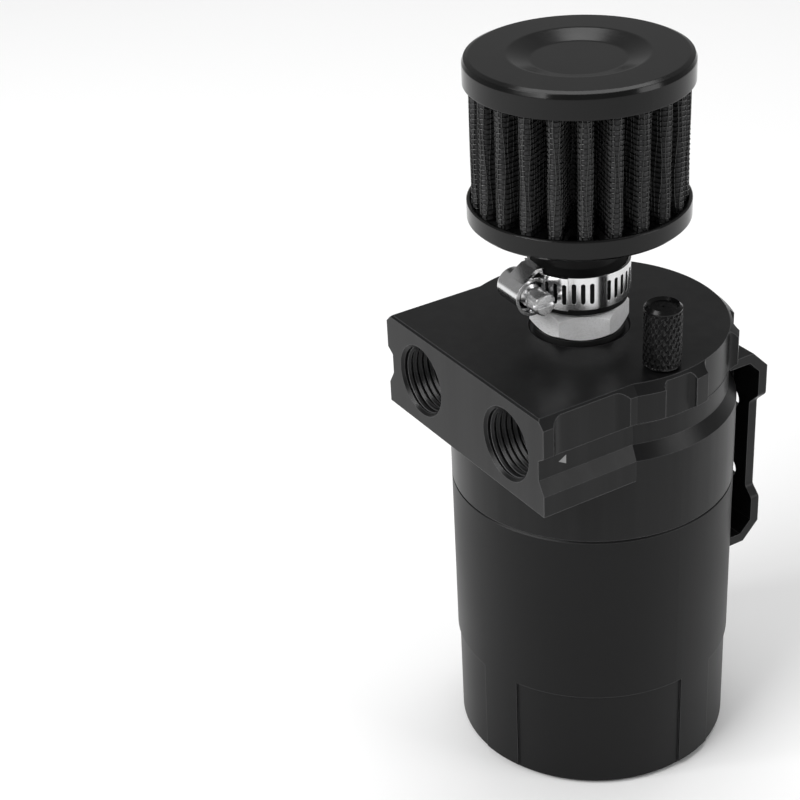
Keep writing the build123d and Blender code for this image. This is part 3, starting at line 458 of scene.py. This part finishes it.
def helix_ridge(radius, depth, length):
    """A thread's ridges in a bore about Z that starts at z=0, faded out over half a turn at each end."""
    rows = []
    turns = int(length / THREAD_PITCH)
    for k in range(turns * THREAD_STEPS + 1):
        turn = 2 * math.pi * k / THREAD_STEPS
        rise = THREAD_PITCH * k / THREAD_STEPS
        fade = min(1.0, k / THREAD_STEPS * 2, (turns * THREAD_STEPS - k) / THREAD_STEPS * 2)
        row = []
        for along, high in THREAD_PROFILE:
            r = radius - depth * high * fade
            height = rise + along * THREAD_PITCH
            row.append(Vector((r * math.cos(turn), r * math.sin(turn), height)))
        rows.append(row)
    return rows


def port_thread(name, side, finish):
    """The thread inside a hose port."""
    mount = next(m for m in frame["record"]["mounts"] if m["name"] == side)
    x, y, z = (c / MM for c in mount["pos_m"])
    rows = []
    for row in helix_ridge(PORT_THREAD_R + PORT_THREAD_SINK, PORT_THREAD_DEPTH, PORT_THREAD_LEN):
        rows.append([Vector((x + p.x, y + p.z, z - p.y)) for p in row])
    mesh = grid_mesh(name, rows)
    return new_piece(name, mesh, finish, smooth=False)


def outlet_arrow(finish):
    """A small triangle marked on the groove's wall, which points out of the outlet port."""
    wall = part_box("lid")[1].x / MM - GROOVE_DEPTH + ARROW_RISE
    corners = [(wall, y, z) for y, z in ARROW_CORNERS]
    mesh = bpy.data.meshes.new("outlet_arrow")
    front = [[c * MM for c in corner] for corner in corners]
    back = [[(x - ARROW_THICK) * MM, y * MM, z * MM] for x, y, z in corners]
    faces = [(0, 2, 1), (3, 4, 5), (0, 1, 4, 3), (1, 2, 5, 4), (2, 0, 3, 5)]
    mesh.from_pydata(front + back, [], faces)
    return new_piece("outlet_arrow", mesh, finish, smooth=False)


def knurled_knob(finish):
    """The dipstick's knob with its diamond knurl, and the stem below it."""
    low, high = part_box("dipstick_knob")
    low, high = low / MM, high / MM
    x, y = (low.x + high.x) / 2, (low.y + high.y) / 2
    radius = (high.x - low.x) / 2
    top = high.z
    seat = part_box("lid")[1].z / MM
    side = radius - KNOB_EASE
    bottom, upper = seat + KNOB_PLAIN_END, top - KNOB_PLAIN_END
    stem = [(STEM_BORE_R, low.z), (STEM_TIP_R, low.z)] + [(r, seat + rise) for r, rise in STEM_PROFILE]
    foot = [(radius - KNOB_CHAMFER, seat + KNOB_EASE), (side, seat + KNOB_CHAMFER), (side, bottom)]
    crown = [
        (side, upper), (side, top - KNOB_CHAMFER), (radius - KNOB_CHAMFER, top),
        (KNOB_DISH_R + KNOB_DISH_DEPTH, top), (KNOB_DISH_R, top - KNOB_DISH_DEPTH),
        (KNOB_CENTRE_R, top - KNOB_DISH_DEPTH),
    ]
    columns = KNURLS * COLUMNS_PER_KNURL
    turns = [2 * math.pi * c / columns for c in range(columns)]

    def ring(r, z):
        return [Vector((x + r * math.cos(turn), y + r * math.sin(turn), z)) for turn in turns]

    rows = [ring(r, z) for r, z in stem + foot]
    for k in range(1, KNURL_LEVELS):
        z = bottom + (upper - bottom) * k / KNURL_LEVELS
        row = []
        for c, turn in enumerate(turns):
            u = KNURLS * c / columns + (z - bottom) / (2 * KNURL_RISE)
            v = KNURLS * c / columns - (z - bottom) / (2 * KNURL_RISE)
            peak = min(1 - abs(2 * (u % 1) - 1), 1 - abs(2 * (v % 1) - 1))
            r = radius - KNURL_DEPTH * (1 - min(1.0, KNURL_CREST * peak))
            row.append(Vector((x + r * math.cos(turn), y + r * math.sin(turn), z)))
        rows.append(row)
    rows += [ring(r, z) for r, z in crown]
    mesh = grid_mesh("knurled_knob", rows)
    made = new_piece("knurled_knob", mesh, finish, smooth=False)
    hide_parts("dipstick_knob")
    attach(made, "dipstick")


def paint_nodes(finishes):
    """Gives every node that came with the frame its material."""
    slots = {entry["node"]: entry["material_slot"] for entry in frame["record"]["subparts"]}
    for name, node in frame["nodes"].items():
        finish = finishes[slots[name]]
        if not node.material_slots:
            node.data.materials.append(finish)
        for place in node.material_slots:
            place.material = finish


def make_finishes():
    """One material for each slot of the record, and two more for the cup and the arrow."""
    return {
        # The anodised finishes paint their sharp edges lighter, as wear and as painted highlight, except
        # the knob's
        "black_anodised": anodised("satin_anodised", mill=0.06, thread=SPIGOT_THREAD),
        "cup_anodised": anodised(
            "turned_anodised", rough=(0.38, 0.43), gloss=0.16, lathe=0.003, wear_and_shine=0.05, thread=CUP_THREAD
        ),
        "bracket_black": anodised("bracket_anodised", edge=0.2),
        "knob_anodised": anodised(
            "knob_anodised", grey=0.003, rough=(0.16, 0.2), gloss=0.22, edge=0.0, wear_and_shine=0.0
        ),
        "seal_rubber": coated("seal_rubber", 0.5),
        "boot_rubber": coated(
            "boot_rubber", 0.55, grey=0.005, grain_size=0.8, grain=0.02, edge=0.3, gloss=0.15
        ),
        "filter_black": coated("filter_black", 0.16, grey=0.004, grain=0.002, edge=0.3, gloss=0.24),
        "bright_plated": bright_metal("bright_plated", 0.95, 0.3, metallic=0.25),
        "clamp_steel": bright_metal("clamp_steel", 0.72, 0.18),
        "screw_zinc": bright_metal("screw_zinc", 0.75, 0.28),
        "zinc_sheet": bright_metal("zinc_sheet", 0.55, 0.35),
        "rod_steel": bright_metal("rod_steel", 0.6, 0.25),
        "plain_aluminium": bright_metal("plain_aluminium", 0.75, 0.35),
        "filter_media": gauze_cloth("filter_media"),
        "black_wire": coated("black_wire", 0.14, grey=0.004, edge=0.0, gloss=0.6),
        "laser_mark": coated("laser_mark", 0.6, grey=0.25, edge=0.0),
        "potting_resin": coated("potting_resin", 0.6),
        "wire_wool": knitted_mesh("wire_wool"),
        "black_screw": coated("black_screw", 0.35),
    }


def place_camera():
    """The camera at the photo's viewing angle."""
    data = bpy.data.cameras.new("camera")
    data.lens = CAMERA_LENS
    data.sensor_width = 36.0
    data.clip_start, data.clip_end = 0.01, 20.0
    made = bpy.data.objects.new("camera", data)
    made.location = [c * MM for c in CAMERA_AT]
    a, p, r = (math.radians(v) for v in (CAMERA_AZIMUTH, CAMERA_PITCH, CAMERA_ROLL))
    made.rotation_mode = "QUATERNION"
    forward = Vector((-math.sin(a) * math.cos(p), math.cos(a) * math.cos(p), -math.sin(p)))
    made.rotation_quaternion = Quaternion(forward, -r) @ forward.to_track_quat("-Z", "Y")
    bpy.context.collection.objects.link(made)
    bpy.context.scene.camera = made


def soft_light(name, at, size, power):
    """A square softbox that faces the object."""
    data = bpy.data.lights.new(name, "AREA")
    data.shape = "RECTANGLE"
    data.size, data.size_y = size
    data.energy = power
    made = bpy.data.objects.new(name, data)
    made.location = at
    made.rotation_euler = (Vector(LIGHT_AIM) - Vector(at)).to_track_quat("-Z", "Y").to_euler()
    bpy.context.collection.objects.link(made)


def pale_studio():
    """Floor, world and softboxes."""
    half = FLOOR_HALF
    mesh = bpy.data.meshes.new("floor")
    corners = [(-half, -half, 0), (half, -half, 0), (half, half, 0), (-half, half, 0)]
    mesh.from_pydata(corners, [], [(0, 1, 2, 3)])
    floor = bpy.data.objects.new("floor", mesh)
    bpy.context.collection.objects.link(floor)
    made, tree, shader = node_tree("pale_floor")
    shader.inputs["Base Color"].default_value = (FLOOR_GREY, FLOOR_GREY, FLOOR_GREY, 1)
    shader.inputs["Roughness"].default_value = 0.9
    shader.inputs["Specular IOR Level"].default_value = 0.0
    mesh.materials.append(made)
    world = bpy.data.worlds.new("world")
    world.use_nodes = True
    bpy.context.scene.world = world
    world.node_tree.nodes["Background"].inputs["Color"].default_value = (1, 1, 1, 1)
    tree = world.node_tree
    seen = add(tree, "ShaderNodeLightPath").outputs["Is Camera Ray"]
    strength = math_node(tree, "MULTIPLY_ADD", seen, 1.0 - WORLD_LIGHT, WORLD_LIGHT)
    tree.links.new(strength, tree.nodes["Background"].inputs["Strength"])
    for name, at, size, power in SOFTBOXES:
        soft_light(name, at, size, power)


finishes = make_finishes()
paint_nodes(finishes)
for place in frame["nodes"]["cup"].material_slots:
    place.material = finishes["cup_anodised"]

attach(filter_gauze(finishes["black_wire"]), BODY)
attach(port_thread("inlet_thread", "inlet_port", finishes["black_anodised"]), BODY)
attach(port_thread("outlet_thread", "outlet_port", finishes["black_anodised"]), BODY)
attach(outlet_arrow(finishes["laser_mark"]), BODY)
knurled_knob(finishes["knob_anodised"])

pale_studio()
place_camera()
bpy.context.scene.view_settings.view_transform = "Standard"
